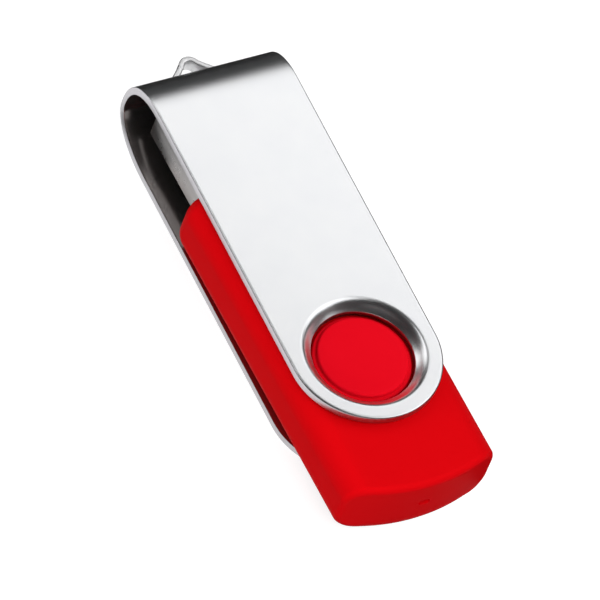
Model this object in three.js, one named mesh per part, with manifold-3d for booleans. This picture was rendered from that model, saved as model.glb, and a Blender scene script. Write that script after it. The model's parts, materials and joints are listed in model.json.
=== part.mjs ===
// Swivel USB flash drive, closed: the plug lies inside a folded sheet-metal cover.
// Millimetres, +Z up. The drive lies flat on the lower plate of its cover, at z = 0.
// +X points to the rounded rear end, -X to the bend of the cover with its key loop.
// Everything is drawn around the swivel axis and then moved so that the origin is
// under the middle of the object's box.
import * as THREE from 'three';
import { mergeVertices } from 'three/addons/utils/BufferGeometryUtils.js';
import Module from 'manifold-3d';

const wasm = await Module();
wasm.setup();

// ---- driving dimensions ---------------------------------------------------------
const COVER_W = 17.0;                  // width of the cover strip
const COVER_H = 10.7;                  // height over both plates
const SHEET = 0.93;                    // sheet thickness
const BEND_OUT = -40.3;                // the outside of the bend
const UPPER_REACH = 6.4;               // length of the bend, from the upper plate
const LOWER_REACH = 8.2;               // and from the lower plate
const BEND_Z = 4.8;                    // height of the bend's outermost line
const BEND_SHEET = 0.7;                // the sheet is thinner where it is bent furthest
const COVER_TURN = -1.0;               // degrees that the cover stands off the body's line

const DIMPLE_R = 7.0;                  // where the plate starts to dip around the boss
const HOLE_R = 5.85;                   // hole in the cover
const DIMPLE_DEPTH = 0.9;              // how far the hole's edge lies below the plate

const LOOP_REACH = 42.75;              // swivel axis to the outside of the key loop
const LOOP_HALF = 3.2;                 // half its width where it leaves the bend
const LOOP_SHEET = 0.6;                // the drawn strip is thinner than the sheet
const LOOP_TALL = 1.75;
const LOOP_Z = 5.4;

const BODY_W = 18.4;
const BODY_T = 8.2;
const BODY_FRONT = -24.6;
const BODY_REAR = 16.6;
const REAR_BOW_R = 22.0;               // the rear end is bowed in plan
const FRONT_CORNER_R = 2.0;
const REAR_CORNER = 0.5;
const UPPER_ROUND = { side: 2.6, front: 1.6, rear: 0.7 };    // radii of the body's upper edges
const UNDER_ROUND = { side: 3.2, front: 2.4, rear: 2.2 };    // and of its lower ones
const WALL = 1.2;
const SPLIT_Z = COVER_H / 2;           // the shells part at mid height
const BODY_LOW = SPLIT_Z - BODY_T / 2;
const BODY_TOP = SPLIT_Z + BODY_T / 2;
const CAVITY_H = 4.9;
const RECESS_R = 7.4;                  // round recess that takes the cover's dimple
const RECESS_DEPTH = 0.9;
const STEM_HOLE_R = 3.7;

const CAP_TOP = COVER_H - 0.97;        // top of the boss, just under the cover's face
const CAP_R = 5.0;
const CAP_SHOULDER_R = 5.45;
const CAP_SHOULDER_H = 0.65;
const STEM_R = 3.4;
const STEM_LENGTH = 0.7;

const PLUG_TIP = -36.5;
const PLUG_LENGTH = 18.75;
const PLUG_W = 12.0;                   // standard type A plug
const PLUG_H = 4.5;
const PLUG_SHEET = 0.3;
const TONGUE_T = 1.9;
const TONGUE_W = 11.0;
const CONTACT_W = 1.0;
const CONTACT_T = 0.2;
const CONTACT_REAR = -15.6;

const BOARD_T = 0.8;
const BOARD_W = 14.4;
const BOARD_FRONT = -17.4;
const BOARD_REAR = 12.8;
const BOARD_TOP = SPLIT_Z - PLUG_H / 2 + PLUG_SHEET + TONGUE_T;
const BOARD_LOW = BOARD_TOP - BOARD_T;

const LED_HOLE_W = 1.4;
const LED_HOLE_H = 0.8;
const LED_HOLE_Z = 5.9;

const ROUND = 48;                      // sides of a full circle
const PLAN_STEPS = 12;                 // steps in a quarter circle of an outline
const BEND_STEPS = 12;                 // steps in a quarter of the bend
const CORNER_STEPS = 6;                // steps in a quarter circle of an edge
const THROUGH = 40;                    // longer than anything that a cutter goes through

const PIVOT_X = (LOOP_REACH - BODY_REAR) / 2;

// ---- materials ------------------------------------------------------------------
const finish = (color, roughness, metalness) =>
  new THREE.MeshStandardMaterial({ color, roughness, metalness });
const SATIN_METAL = finish(0xc9cacd, 0.42, 0.9);
const RED_RUBBER = finish(0xd20a1a, 0.62, 0.0);
const PLUG_METAL = finish(0xb4b2b0, 0.3, 1.0);
const BLACK_PLASTIC = finish(0x141416, 0.5, 0.0);
const GOLD = finish(0xd8b25a, 0.25, 1.0);
const BOARD_GREEN = finish(0x0d5a36, 0.45, 0.0);
const CHIP_BLACK = finish(0x1b1b1d, 0.6, 0.0);
const CAN_METAL = finish(0xc4c4c4, 0.25, 1.0);
const LED_LENS = finish(0xf2efe2, 0.2, 0.0);
const CERAMIC_TAN = finish(0x9c8158, 0.5, 0.0);

// ---- solids ---------------------------------------------------------------------
function solid(geometry) {
  const bare = geometry.clone();
  bare.deleteAttribute('normal');
  bare.deleteAttribute('uv');
  const merged = mergeVertices(bare, 1e-4);
  return new wasm.Manifold(new wasm.Mesh({
    numProp: 3,
    vertProperties: new Float32Array(merged.attributes.position.array),
    triVerts: new Uint32Array(merged.index.array),
  }));
}

function addPart(group, name, shape, material) {
  const { vertProperties, triVerts } = shape.getMesh();
  const geometry = new THREE.BufferGeometry();
  geometry.setAttribute('position', new THREE.BufferAttribute(vertProperties, 3));
  geometry.setIndex(new THREE.BufferAttribute(triVerts, 1));
  geometry.computeVertexNormals();
  const mesh = new THREE.Mesh(geometry, material);
  mesh.name = name;
  group.add(mesh);
}

function box(low, high) {
  const size = high.map((value, i) => value - low[i]);
  const middle = high.map((value, i) => (value + low[i]) / 2);
  return solid(new THREE.BoxGeometry(...size).translate(...middle));
}

// A block standing on a surface, from its middle in plan, its size and its height.
function block(x, y, length, width, low, high) {
  return box([x - length / 2, y - width / 2, low], [x + length / 2, y + width / 2, high]);
}

function extrude(shape, depth, options = {}) {
  return new THREE.ExtrudeGeometry(shape, {
    depth, bevelEnabled: false, curveSegments: PLAN_STEPS / 2, ...options,
  });
}

// A plan outline (x, y) raised from low to high.
function raise(shape, low, high) {
  return solid(extrude(shape, high - low).translate(0, 0, low));
}

// A side outline (x, z) drawn through the given width, centred on y = 0.
function acrossY(shape, width) {
  const turn = new THREE.Matrix4().makeBasis(
    new THREE.Vector3(1, 0, 0), new THREE.Vector3(0, 0, 1), new THREE.Vector3(0, -1, 0));
  return solid(extrude(shape, width).applyMatrix4(turn).translate(0, width / 2, 0));
}

// An end outline (y, z) drawn from x = low to x = high.
function alongX(shape, low, high) {
  const turn = new THREE.Matrix4().makeBasis(
    new THREE.Vector3(0, 1, 0), new THREE.Vector3(0, 0, 1), new THREE.Vector3(1, 0, 0));
  return solid(extrude(shape, high - low).applyMatrix4(turn).translate(low, 0, 0));
}

// A profile of [radius, height] points turned around the swivel axis.
function turned(profile, sides = ROUND) {
  const points = profile.map(([radius, height]) => new THREE.Vector2(radius, height));
  return solid(new THREE.LatheGeometry(points, sides).rotateX(Math.PI / 2));
}

function disc(radius, low, high) {
  return turned([[0, low], [radius, low], [radius, high], [0, high]]);
}

function roundedRect(halfWidth, low, high, radius) {
  const shape = new THREE.Shape();
  shape.moveTo(-halfWidth + radius, low);
  shape.lineTo(halfWidth - radius, low);
  shape.absarc(halfWidth - radius, low + radius, radius, -Math.PI / 2, 0);
  shape.absarc(halfWidth - radius, high - radius, radius, 0, Math.PI / 2);
  shape.absarc(-halfWidth + radius, high - radius, radius, Math.PI / 2, Math.PI);
  shape.absarc(-halfWidth + radius, low + radius, radius, Math.PI, Math.PI * 1.5);
  return shape;
}

// The same piece on the underside: half a turn about the line y = 0 at mid height.
function toUnderside(shape) {
  return shape.rotate([180, 0, 0]).translate([0, 0, COVER_H]);
}

// ---- the cover ------------------------------------------------------------------
// A quarter of an oval drawn from one angle to the other; a power above 2 fills the
// oval's corners out.
function ovalQuarter(shape, [x, z], [reachX, reachZ], power, from, to) {
  for (let step = 1; step <= BEND_STEPS; step += 1) {
    const angle = from + (to - from) * step / BEND_STEPS;
    const along = Math.abs(Math.cos(angle)) ** (2 / power);
    const up = Math.abs(Math.sin(angle)) ** (2 / power);
    shape.lineTo(x - reachX * along, z + Math.sign(Math.sin(angle)) * reachZ * up);
  }
}

// Side view of the bent strip: two flat plates and a bend made of two oval quarters,
// a full one above and a longer one below.
function coverSide() {
  const above = COVER_H - BEND_Z;
  const lower = [BEND_OUT + LOWER_REACH, BEND_Z];
  const upper = [BEND_OUT + UPPER_REACH, BEND_Z];
  const end = COVER_W / 2 + 1;
  const quarter = Math.PI / 2;
  const shape = new THREE.Shape();
  shape.moveTo(end, 0);
  shape.lineTo(lower[0], 0);
  ovalQuarter(shape, lower, [LOWER_REACH, BEND_Z], 2.15, 3 * quarter, 2 * quarter);
  ovalQuarter(shape, upper, [UPPER_REACH, above], 2.4, 2 * quarter, quarter);
  shape.lineTo(end, COVER_H);
  shape.lineTo(end, COVER_H - SHEET);
  shape.lineTo(upper[0], COVER_H - SHEET);
  ovalQuarter(shape, upper, [UPPER_REACH - BEND_SHEET, above - SHEET], 2.4, quarter, 2 * quarter);
  ovalQuarter(shape, lower, [LOWER_REACH - BEND_SHEET, BEND_Z - SHEET], 2, 2 * quarter, 3 * quarter);
  shape.lineTo(end, SHEET);
  return shape;
}

function coverPlan() {
  const half = COVER_W / 2;
  const shape = new THREE.Shape();
  shape.moveTo(BEND_OUT - 1, -half);
  shape.lineTo(0, -half);
  shape.absarc(0, 0, half, -Math.PI / 2, 0);
  shape.absarc(0, 0, half, 0, Math.PI / 2);
  shape.lineTo(BEND_OUT - 1, half);
  return shape;
}

// The drawn ring around the hole: the sheet dips in an S and ends at the hole's wall.
function dimple() {
  const face = COVER_H;
  const lip = face - DIMPLE_DEPTH;
  const overlap = 0.4;
  return turned([
    [DIMPLE_R + overlap, face], [DIMPLE_R, face], [DIMPLE_R - 0.25, face - 0.08],
    [DIMPLE_R - 0.6, face - 0.45], [DIMPLE_R - 0.9, lip + 0.13], [HOLE_R, lip],
    [HOLE_R, lip - SHEET], [DIMPLE_R - 0.8, lip - SHEET + 0.08],
    [DIMPLE_R - 0.4, face - SHEET - 0.52], [DIMPLE_R - 0.05, face - SHEET - 0.15],
    [DIMPLE_R + 0.25, face - SHEET], [DIMPLE_R + overlap, face - SHEET],
    [DIMPLE_R + overlap, face],
  ]);
}

// A strip of the bend lanced outwards: two slanting legs and a rounded top, with the
// window that it came out of behind it.
function loopPlan(base, reach, half, crown) {
  const shape = new THREE.Shape();
  shape.moveTo(base, -half);
  shape.lineTo(base, half);
  shape.lineTo(-reach + crown, crown);
  shape.quadraticCurveTo(-reach - crown * 0.1, crown * 0.55, -reach, 0);
  shape.quadraticCurveTo(-reach - crown * 0.1, -crown * 0.55, -reach + crown, -crown);
  return shape;
}

function keyLoop() {
  const low = LOOP_Z - LOOP_TALL / 2;
  const high = LOOP_Z + LOOP_TALL / 2;
  const base = BEND_OUT + SHEET / 2;
  const outer = raise(loopPlan(base, LOOP_REACH, LOOP_HALF, 1.0), low, high);
  const space = raise(loopPlan(base + 1, LOOP_REACH - LOOP_SHEET, LOOP_HALF - 0.45, 0.65),
    low - 1, high + 1);
  return outer.subtract(space);
}

function swivelCover() {
  const strip = acrossY(coverSide(), COVER_W + 2);
  let cover = strip.intersect(raise(coverPlan(), -1, COVER_H + 1));
  cover = cover.subtract(disc(DIMPLE_R + 0.2, -1, COVER_H + 1));
  cover = cover.add(dimple()).add(toUnderside(dimple()));
  const windowHalf = LOOP_HALF - 0.75;
  const lanced = box(
    [BEND_OUT - 0.5, -windowHalf, LOOP_Z - LOOP_TALL / 2],
    [BEND_OUT + UPPER_REACH / 2, windowHalf, LOOP_Z + LOOP_TALL / 2]);
  return cover.subtract(lanced).add(keyLoop()).rotate([0, 0, COVER_TURN]);
}

// ---- the body shells --------------------------------------------------------------
// Plan of the body, or of its cavity when drawn smaller: straight sides, rounded
// corners and a rear end bowed outwards.
function bodyPlan(front, rear, half, frontCorner, rearCorner) {
  const bowCentre = rear - REAR_BOW_R;
  const bowAt = (y) => bowCentre + Math.sqrt(REAR_BOW_R ** 2 - y ** 2);
  const bowEnd = half - rearCorner;
  const bowAngle = Math.asin(bowEnd / REAR_BOW_R);
  const shape = new THREE.Shape();
  shape.moveTo(front + frontCorner, -half);
  shape.lineTo(bowAt(half) - rearCorner, -half);
  shape.quadraticCurveTo(bowAt(half), -half, bowAt(bowEnd), -bowEnd);
  shape.absarc(bowCentre, 0, REAR_BOW_R, -bowAngle, bowAngle);
  shape.quadraticCurveTo(bowAt(half), half, bowAt(half) - rearCorner, half);
  shape.lineTo(front + frontCorner, half);
  shape.absarc(front + frontCorner, half - frontCorner, frontCorner, Math.PI / 2, Math.PI);
  shape.absarc(front + frontCorner, -half + frontCorner, frontCorner, Math.PI, Math.PI * 1.5);
  return shape;
}

// Points of a round corner of an outline, from one angle to the other.
function corner(x, z, radius, from, to) {
  return Array.from({ length: CORNER_STEPS + 1 }, (_, step) => {
    const angle = from + (to - from) * step / CORNER_STEPS;
    return [x + radius * Math.cos(angle), z + radius * Math.sin(angle)];
  });
}

// The body with one set of edge radii above and below: its long section, met by the
// plan, by a side view that rounds the front and by a wide disc that rounds the rear.
function roundedBody({ side, front, rear }) {
  const quarter = Math.PI / 2;
  const section = roundedRect(BODY_W / 2, BODY_LOW, BODY_TOP, side);
  const plan = bodyPlan(BODY_FRONT, BODY_REAR, BODY_W / 2, FRONT_CORNER_R, REAR_CORNER);
  const nose = [
    ...corner(BODY_FRONT + front, BODY_TOP - front, front, quarter, 2 * quarter),
    ...corner(BODY_FRONT + front, BODY_LOW + front, front, 2 * quarter, 3 * quarter),
    [BODY_REAR + 1, BODY_LOW], [BODY_REAR + 1, BODY_TOP],
  ];
  const noseShape = new THREE.Shape(nose.map(([x, z]) => new THREE.Vector2(x, z)));
  const rim = REAR_BOW_R - rear;
  const tail = turned([
    [0, BODY_LOW], ...corner(rim, BODY_LOW + rear, rear, -quarter, 0),
    ...corner(rim, BODY_TOP - rear, rear, 0, quarter), [0, BODY_TOP],
  ], 2 * ROUND);
  return alongX(section, BODY_FRONT - 1, BODY_REAR + 1)
    .intersect(raise(plan, BODY_LOW, BODY_TOP))
    .intersect(acrossY(noseShape, BODY_W + 2))
    .intersect(tail.translate([BODY_REAR - REAR_BOW_R, 0, 0]));
}

function bodyHollow() {
  const half = BODY_W / 2 - WALL;
  const plan = bodyPlan(BODY_FRONT + WALL, BODY_REAR - WALL, half, FRONT_CORNER_R - WALL, 1.0);
  const cavity = raise(plan, SPLIT_Z - CAVITY_H / 2, SPLIT_Z + CAVITY_H / 2);
  const gap = 0.15;
  const slot = roundedRect(PLUG_W / 2 + gap, SPLIT_Z - PLUG_H / 2 - gap,
    SPLIT_Z + PLUG_H / 2 + gap, 0.6);
  return cavity.add(alongX(slot, BODY_FRONT - 1, BODY_FRONT + 3));
}

function pivotCut() {
  const recess = disc(RECESS_R, BODY_TOP - RECESS_DEPTH, BODY_TOP + 1);
  return recess.add(disc(STEM_HOLE_R, SPLIT_Z + 1, BODY_TOP));
}

function upperShell() {
  const half = box([-THROUGH, -THROUGH, SPLIT_Z], [THROUGH, THROUGH, THROUGH]);
  const hole = roundedRect(LED_HOLE_W / 2, LED_HOLE_Z - LED_HOLE_H / 2,
    LED_HOLE_Z + LED_HOLE_H / 2, LED_HOLE_H / 2 - 0.01);
  return roundedBody(UPPER_ROUND).subtract(bodyHollow()).intersect(half).subtract(pivotCut())
    .subtract(alongX(hole, BOARD_REAR, BODY_REAR + 1));
}

function lowerShell() {
  const half = box([-THROUGH, -THROUGH, -THROUGH], [THROUGH, THROUGH, SPLIT_Z]);
  let shell = roundedBody(UNDER_ROUND).subtract(bodyHollow()).intersect(half);
  shell = shell.subtract(toUnderside(pivotCut()));
  const postSize = 1.4;
  for (const x of [BOARD_FRONT + 1, BOARD_REAR - 2.2]) {
    for (const side of [-1, 1]) {
      const y = side * (BOARD_W / 2 - 0.5);
      shell = shell.add(block(x, y, postSize, postSize, SPLIT_Z - CAVITY_H / 2 - 0.2, BOARD_LOW));
    }
  }
  return shell;
}

// The round stepped boss that the cover turns on: a stem in the shell, a shoulder
// inside the cover's hole and a raised button face.
function pivotCap() {
  const seat = BODY_TOP - RECESS_DEPTH;
  const shoulder = seat + CAP_SHOULDER_H;
  return turned([
    [0, seat - STEM_LENGTH], [STEM_R, seat - STEM_LENGTH], [STEM_R, seat],
    [CAP_SHOULDER_R, seat], [CAP_SHOULDER_R, shoulder - 0.1],
    [CAP_SHOULDER_R - 0.1, shoulder], [CAP_R, shoulder], [CAP_R, CAP_TOP - 0.22],
    [CAP_R - 0.07, CAP_TOP - 0.07], [CAP_R - 0.22, CAP_TOP], [0, CAP_TOP],
  ]);
}

// ---- the plug -----------------------------------------------------------------------
const PLUG_LOW = SPLIT_Z - PLUG_H / 2;
const PLUG_TOP = SPLIT_Z + PLUG_H / 2;

function plugShell() {
  const rear = PLUG_TIP + PLUG_LENGTH;
  const inside = roundedRect(PLUG_W / 2 - PLUG_SHEET, PLUG_LOW + PLUG_SHEET,
    PLUG_TOP - PLUG_SHEET, 0.2);
  let shell = alongX(roundedRect(PLUG_W / 2, PLUG_LOW, PLUG_TOP, 0.5), PLUG_TIP, rear);
  shell = shell.subtract(alongX(inside, PLUG_TIP - 1, rear + 1));
  const windowX = PLUG_TIP + 5.2;
  for (const y of [-2.6, 2.6]) {
    shell = shell.subtract(block(windowX, y, 2.0, 2.5, PLUG_LOW - 1, PLUG_TOP + 1));
  }
  return shell;
}

function plugInsulator() {
  const low = PLUG_LOW + PLUG_SHEET;
  const front = PLUG_TIP + 0.35;
  const side = new THREE.Shape();
  side.moveTo(front, low);
  side.lineTo(BOARD_FRONT - 0.1, low);
  side.lineTo(BOARD_FRONT - 0.1, BOARD_TOP);
  side.lineTo(front + 0.4, BOARD_TOP);
  side.lineTo(front, BOARD_TOP - 0.4);
  return acrossY(side, TONGUE_W);
}

// A flat spring contact along the tongue, with a sloped nose and its tail on the board.
function contact(y, front) {
  const side = new THREE.Shape();
  side.moveTo(front, BOARD_TOP);
  side.lineTo(CONTACT_REAR, BOARD_TOP);
  side.lineTo(CONTACT_REAR, BOARD_TOP + CONTACT_T);
  side.lineTo(front + 0.3, BOARD_TOP + CONTACT_T);
  return acrossY(side, CONTACT_W).translate([0, y, 0]);
}

// ---- the electronics ------------------------------------------------------------------
function circuitBoard() {
  return box([BOARD_FRONT, -BOARD_W / 2, BOARD_LOW], [BOARD_REAR, BOARD_W / 2, BOARD_TOP]);
}

// A moulded chip with sloped sides and a row of leads along each end.
function leadedChip(x, y, length, width, height, leads) {
  const bodyHalf = length / 2 - 1;
  const half = width / 2;
  const foot = 0.12;
  const side = new THREE.Shape();
  side.moveTo(-bodyHalf + 0.1, foot);
  side.lineTo(bodyHalf - 0.1, foot);
  side.lineTo(bodyHalf, height / 2);
  side.lineTo(bodyHalf - 0.1, height);
  side.lineTo(-bodyHalf + 0.1, height);
  side.lineTo(-bodyHalf, height / 2);
  let chip = acrossY(side, width);
  const pitch = (width - 1) / (leads - 1);
  for (let i = 0; i < leads; i += 1) {
    const leadY = -half + 0.5 + i * pitch;
    for (const end of [-1, 1]) {
      const reach = end * (bodyHalf + 0.4);
      chip = chip.add(block(reach, leadY, 1.0, 0.3, height / 2 - 0.1, height / 2 + 0.1));
      chip = chip.add(block(end * (bodyHalf + 0.8), leadY, 0.24, 0.3, 0, height / 2 + 0.1));
    }
  }
  return chip.translate([x, y, 0]);
}

function chipResistor(x, y) {
  return block(x, y, 1.6, 0.8, BOARD_TOP, BOARD_TOP + 0.45);
}

function chipCapacitor(x, y) {
  return block(x, y, 1.0, 1.6, BOARD_TOP, BOARD_TOP + 0.8);
}

// ---- assembly ---------------------------------------------------------------------------
const drive = new THREE.Group();
drive.name = 'usb_flash_drive';
drive.position.x = PIVOT_X;

addPart(drive, 'swivel_cover', swivelCover(), SATIN_METAL);
addPart(drive, 'upper_shell', upperShell(), RED_RUBBER);
addPart(drive, 'lower_shell', lowerShell(), RED_RUBBER);
addPart(drive, 'upper_pivot_cap', pivotCap(), RED_RUBBER);
addPart(drive, 'lower_pivot_cap', toUnderside(pivotCap()), RED_RUBBER);

addPart(drive, 'plug_shell', plugShell(), PLUG_METAL);
addPart(drive, 'plug_insulator', plugInsulator(), BLACK_PLASTIC);
const CONTACTS = [['vbus', -3.5, 1.2], ['data_minus', -1.0, 2.2], ['data_plus', 1.0, 2.2],
  ['ground', 3.5, 1.2]];
for (const [name, y, setBack] of CONTACTS) {
  addPart(drive, `contact_${name}`, contact(y, PLUG_TIP + setBack), GOLD);
}

addPart(drive, 'circuit_board', circuitBoard(), BOARD_GREEN);
const memory = leadedChip(0, 0, 18.4, 12, 1.1, 12).rotate([180, 0, 0]);
addPart(drive, 'memory_chip', memory.translate([1.5, 0, BOARD_LOW]), CHIP_BLACK);
const controller = leadedChip(0, 0, 9, 7, 1.4, 8).translate([-8.5, 0, BOARD_TOP]);
addPart(drive, 'controller_chip', controller, CHIP_BLACK);
const crystal = raise(roundedRect(1.6, -1.25, 1.25, 0.4), BOARD_TOP, BOARD_TOP + 0.85);
addPart(drive, 'crystal', crystal.translate([-1.0, 3.2, 0]), CAN_METAL);
addPart(drive, 'status_led', block(BOARD_REAR - 0.9, 0, 1.6, 0.8, BOARD_TOP, BOARD_TOP + 0.6),
  LED_LENS);
const CAPACITORS = [[-12.5, 5.6], [-12.5, -5.6], [-1.0, -0.4], [4.0, 4.6], [4.0, -4.6]];
CAPACITORS.forEach(([x, y], i) => {
  addPart(drive, `capacitor_${i + 1}`, chipCapacitor(x, y), CERAMIC_TAN);
});
const RESISTORS = [[-1.0, -3.4], [8.0, 1.8], [8.0, -1.8]];
RESISTORS.forEach(([x, y], i) => {
  addPart(drive, `resistor_${i + 1}`, chipResistor(x, y), CHIP_BLACK);
});

export default drive;
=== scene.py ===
"""The looks of a swivel USB flash drive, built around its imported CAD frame.

The object's lengths are in millimetres and drawn around the swivel axis, with heights
from the floor; MM turns them into metres when a mesh is made. The studio's lengths are
in metres, in the frame's own coordinates.
"""
import json
import math

import bmesh
import bpy
import numpy as np
from mathutils import Matrix, Vector


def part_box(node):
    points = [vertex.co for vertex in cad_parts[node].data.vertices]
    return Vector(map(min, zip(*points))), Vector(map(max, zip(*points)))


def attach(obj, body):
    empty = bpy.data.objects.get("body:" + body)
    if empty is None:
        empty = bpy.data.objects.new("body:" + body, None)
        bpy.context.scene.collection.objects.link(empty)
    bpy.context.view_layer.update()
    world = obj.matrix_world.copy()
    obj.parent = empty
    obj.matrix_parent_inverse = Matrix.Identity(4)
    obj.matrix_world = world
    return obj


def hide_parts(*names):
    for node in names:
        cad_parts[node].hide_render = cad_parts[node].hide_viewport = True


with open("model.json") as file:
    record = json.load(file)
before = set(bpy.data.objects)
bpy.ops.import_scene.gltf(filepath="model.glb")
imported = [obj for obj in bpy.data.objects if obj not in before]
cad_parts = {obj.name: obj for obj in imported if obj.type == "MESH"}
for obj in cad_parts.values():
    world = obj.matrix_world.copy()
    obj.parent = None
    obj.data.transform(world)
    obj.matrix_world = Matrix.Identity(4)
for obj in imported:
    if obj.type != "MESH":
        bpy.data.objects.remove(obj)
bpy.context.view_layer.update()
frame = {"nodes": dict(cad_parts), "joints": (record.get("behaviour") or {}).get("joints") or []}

MM = 0.001


# ---- places and sizes from the frame ---------------------------------------------
def node_box(node):
    """A CAD node's lowest and highest corner at rest, in millimetres."""
    low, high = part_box(node)
    return np.array(low) / MM, np.array(high) / MM


PIVOT = np.array(frame["joints"][0]["pos_m"]) / MM
UPPER_LOW, UPPER_HIGH = node_box("upper_shell")
PLUG_LOW, PLUG_HIGH = node_box("plug_shell")

COVER_H = node_box("swivel_cover")[1][2]
CAP_TOP = node_box("upper_pivot_cap")[1][2]
SPLIT_Z = node_box("lower_shell")[1][2]
BODY_FRONT = UPPER_LOW[0] - PIVOT[0]
BODY_REAR = UPPER_HIGH[0] - PIVOT[0]
BODY_HALF = UPPER_HIGH[1]
BODY_HALF_T = UPPER_HIGH[2] - SPLIT_Z

COVER_TURN = math.radians(-1.0)        # the cover stands a degree off the body's line
COVER_HALF = 8.5                       # half the strip's width
SHEET = 0.93                           # thickness of the flat parts
BEND_SHEET = 0.7                       # and at the bend's outermost line
BEND_OUT = -40.3                       # the outside of the bend
BEND_Z = 4.8                           # height of the bend's outermost line
UPPER_REACH = 6.4                      # length of the bend, from the upper plate
LOWER_REACH = 8.2                      # and from the lower plate
UPPER_POWER = (2.4, 2.4)               # how square the bend is outside and inside: 2 is an
LOWER_POWER = (2.15, 2.0)              # ellipse, and more is squarer
EDGE_ROUND = 0.2                       # rounding of the strip's outer edges

PLATE_EDGE_WEIGHT = 1.0                # shares of EDGE_ROUND: the plates' outer edges
BEND_EDGE_WEIGHT = 0.5                 # the bend's outer edges
FINE_EDGE_WEIGHT = 0.2                 # all inner edges, and those of the holes

HOLE_R = 5.7                           # hole in each plate
DIMPLE_R = 7.15                        # where the plate starts to dip around it
DIMPLE_DEPTH = {"outer": 0.98, "inner": 0.85}     # the sheet thins as it is drawn
DIMPLE_SHIFT = {"outer": 0.0, "inner": 0.35}      # and its inner face starts to dip sooner
STEEPEST = 0.62                        # where the dimple is steepest, from its rim to the hole
LIP_SLOPE = 0.8                        # its slope at the hole, as a share of the steepest

LOOP_REACH = 42.7                      # swivel axis to the outside of the key loop
LOOP_HALF = 3.2                        # half its width where it leaves the bend
LOOP_SHEET = 0.6                       # the drawn strip is thinner than the sheet
LOOP_TALL = 1.75
LOOP_Z = 5.4
LOOP_EDGE = 0.11                       # rounding of its torn edges
WINDOW_HALF = 2.35                     # half the width of the gap it was lanced from

REAR_BOW_R = 22.0                      # the rear end is bowed in plan
UPPER_ROUND = {"side": 2.6, "front": (2.0, 1.6), "rear": (0.5, 0.75)}    # radii of the body's
UNDER_ROUND = {"side": 3.2, "front": (2.0, 2.5), "rear": (0.5, 2.3)}     # edges, side to middle
WALL = 1.2
CAVITY_HALF_T = 2.45
CAVITY_CORNER = 1.2
CAVITY_SHIFT = -0.4                    # the cavity lies a little towards the front
LED_HOLE_HALF = (0.7, 0.4)
LED_HOLE_CORNER = 0.39
LED_HOLE_RISE = 0.55                   # its middle above the line where the shells part

RECESS_R = 7.4                         # round recess that takes the cover's dimple
RECESS_DEPTH = 0.9
RECESS_CORNER = 0.3
STEM_HOLE_R = 3.7
STEM_R = 3.4
STEM_LENGTH = 0.7
CAP_R = 5.0
CAP_EDGE = 0.25
SHOULDER_R = 5.45                      # the boss's wider foot
SHOULDER_H = 0.65
SHOULDER_EDGE = 0.2
SHOULDER_FILLET = 0.12                 # hollow corner between foot and boss

PLUG_SHEET = 0.3
PLUG_CORNER = 0.5
PLUG_GAP = 0.08                        # play around the plug in the body
WINDOW_SET_BACK = 5.2                  # the plug's four windows, from its tip
WINDOW_ASIDE = 2.6                     # and from its middle line
PLUG_WINDOW_HALF = (1.0, 1.25)
PLUG_WINDOW_CORNER = 0.2
SEAM_HALF = 0.03                       # the seam under the plug, where its sheet meets
SEAM_DEPTH = 0.08


# ---- mesh helpers -----------------------------------------------------------------
def add_to_scene(obj):
    """Link the object into the scene."""
    bpy.context.scene.collection.objects.link(obj)
    return obj


class Editing:
    """An object's mesh opened for editing, and written back when the block ends."""

    def __init__(self, obj):
        self.mesh = obj.data
        self.bm = bmesh.new()

    def __enter__(self):
        self.bm.from_mesh(self.mesh)
        return self.bm

    def __exit__(self, *error):
        self.bm.to_mesh(self.mesh)
        self.bm.free()


def make_object(name, points, faces, turn=0.0, smooth=True):
    """A mesh object from points in millimetres around the swivel axis."""
    co = np.asarray(points, float)
    c, s = math.cos(turn), math.sin(turn)
    x = co[:, 0] * c - co[:, 1] * s + PIVOT[0]
    y = co[:, 0] * s + co[:, 1] * c + PIVOT[1]
    placed = np.stack([x, y, co[:, 2]], 1) * MM
    mesh = bpy.data.meshes.new(name)
    mesh.from_pydata(placed.tolist(), [], [list(f) for f in faces])
    mesh.validate()
    obj = add_to_scene(bpy.data.objects.new(name, mesh))
    with Editing(obj) as bm:
        bmesh.ops.recalc_face_normals(bm, faces=bm.faces)
    if smooth:
        mesh.polygons.foreach_set("use_smooth", [True] * len(mesh.polygons))
    return obj


def weld(obj):
    """Join points that meet, and drop the faces that have shrunk to nothing."""
    with Editing(obj) as bm:
        bmesh.ops.remove_doubles(bm, verts=bm.verts, dist=0.002 * MM)
        bmesh.ops.dissolve_degenerate(bm, edges=bm.edges, dist=0.001 * MM)
        bmesh.ops.recalc_face_normals(bm, faces=bm.faces)
    return obj


def apply_modifiers(obj):
    """The object's mesh becomes what its modifiers make of it."""
    bpy.context.view_layer.update()
    graph = bpy.context.evaluated_depsgraph_get()
    mesh = bpy.data.meshes.new_from_object(obj.evaluated_get(graph))
    obj.modifiers.clear()
    old = obj.data
    obj.data = mesh
    bpy.data.meshes.remove(old)


def boolean(obj, other, operation):
    """The object's mesh is joined, cut or clipped with the other object's."""
    step = obj.modifiers.new(operation.lower(), "BOOLEAN")
    step.operation = operation
    step.solver = "EXACT"
    step.object = other
    apply_modifiers(obj)


def cut(obj, *cutters):
    """Take the cutters out of the object, and remove them."""
    for cutter in cutters:
        boolean(obj, cutter, "DIFFERENCE")
        bpy.data.objects.remove(cutter)
    return obj


def bevel(obj, width, segments=3, angle=35):
    """Rounded edges: those sharper than the angle, or the weighted ones if it is None."""
    step = obj.modifiers.new("bevel", "BEVEL")
    step.width = width * MM
    step.segments = segments
    step.limit_method = "WEIGHT" if angle is None else "ANGLE"
    if angle is not None:
        step.angle_limit = math.radians(angle)
    step.miter_outer = "MITER_ARC"
    step.use_clamp_overlap = True
    apply_modifiers(obj)


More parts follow.
